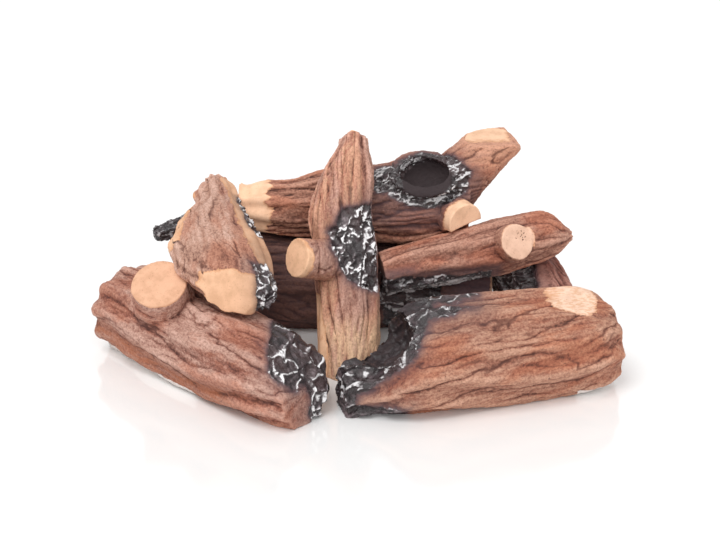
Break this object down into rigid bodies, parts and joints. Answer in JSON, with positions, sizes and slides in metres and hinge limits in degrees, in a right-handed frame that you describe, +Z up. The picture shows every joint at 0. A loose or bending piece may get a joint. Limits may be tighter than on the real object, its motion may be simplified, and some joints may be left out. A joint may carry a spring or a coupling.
{
  "type": "gas log set",
  "caption": "Stack of moulded ceramic-fibre logs with sawn ends, bark and charred faces, laid loose on a hearth over a gas burner.",
  "frame": {"origin": "on the hearth, under the middle of the stack's width and depth", "axes": "+Z up, -Y towards the room, +X to the right of someone who faces the fire"},
  "size_m": [0.659, 0.4066, 0.2754],
  "materials": {
    "rear_log_ceramic": "matt painted bark, brown with dark fissures and soot",
    "front_left_ceramic": "matt painted bark, orange brown, with a charred inner end and an off-white underside",
    "front_right_ceramic": "matt painted bark, orange brown, with a charred left shoulder and an off-white underside",
    "split_log_ceramic": "matt painted split wood, grey brown, with tan sawn edges",
    "centre_branch_ceramic": "matt painted bark fading to tan at the foot, with a crackled charred patch",
    "fork_log_ceramic": "matt painted bark with tan sawn ends and a charred knot hole",
    "right_branch_ceramic": "matt painted bark with a tan sawn knot and a sooty underside",
    "left_char_ceramic": "charred black, half gloss, with ash grey ridges",
    "right_char_ceramic": "charred black and reddish brown, half gloss, with ash grey ridges"
  },
  "bodies": {
    "rear_base": {"rear_base_log": "rear_log_ceramic"},
    "front_left": {"front_left_log": "front_left_ceramic"},
    "front_right": {"front_right_log": "front_right_ceramic"},
    "left_split": {"left_split_log": "split_log_ceramic"},
    "centre_branch": {"centre_branch_log": "centre_branch_ceramic"},
    "top_fork": {"top_fork_log": "fork_log_ceramic"},
    "right_branch": {"right_branch_log": "right_branch_ceramic"},
    "left_char": {"left_char_branch": "left_char_ceramic"},
    "right_char": {"right_char_log": "right_char_ceramic"}
  },
  "joints": [
    {"name": "front_left_lift", "type": "slide", "parent": "rear_base", "child": "front_left", "axis": [-0.3505, -0.4506, 0.8211], "range_m": [0, 0.15]},
    {"name": "left_split_lift", "type": "slide", "parent": "front_left", "child": "left_split", "axis": [-0.1001, -0.3505, 0.9312], "range_m": [0, 0.12]},
    {"name": "front_right_draw", "type": "slide", "parent": "rear_base", "child": "front_right", "axis": [0.3987, -0.9171, 0], "range_m": [0, 0.15]},
    {"name": "centre_branch_lift", "type": "slide", "parent": "rear_base", "child": "centre_branch", "axis": [0, 0, 1], "range_m": [0, 0.15]},
    {"name": "top_fork_lift", "type": "slide", "parent": "rear_base", "child": "top_fork", "axis": [0.1495, 0.598, 0.7874], "range_m": [0, 0.15]},
    {"name": "right_branch_lift", "type": "slide", "parent": "rear_base", "child": "right_branch", "axis": [0.2004, -0.9167, 0.3456], "range_m": [0, 0.12]},
    {"name": "left_char_lift", "type": "slide", "parent": "rear_base", "child": "left_char", "axis": [-0.7773, 0.6222, 0.093], "range_m": [0, 0.12]},
    {"name": "right_char_draw", "type": "slide", "parent": "rear_base", "child": "right_char", "axis": [0.3011, 0.9536, 0], "range_m": [0, 0.12]}
  ]
}
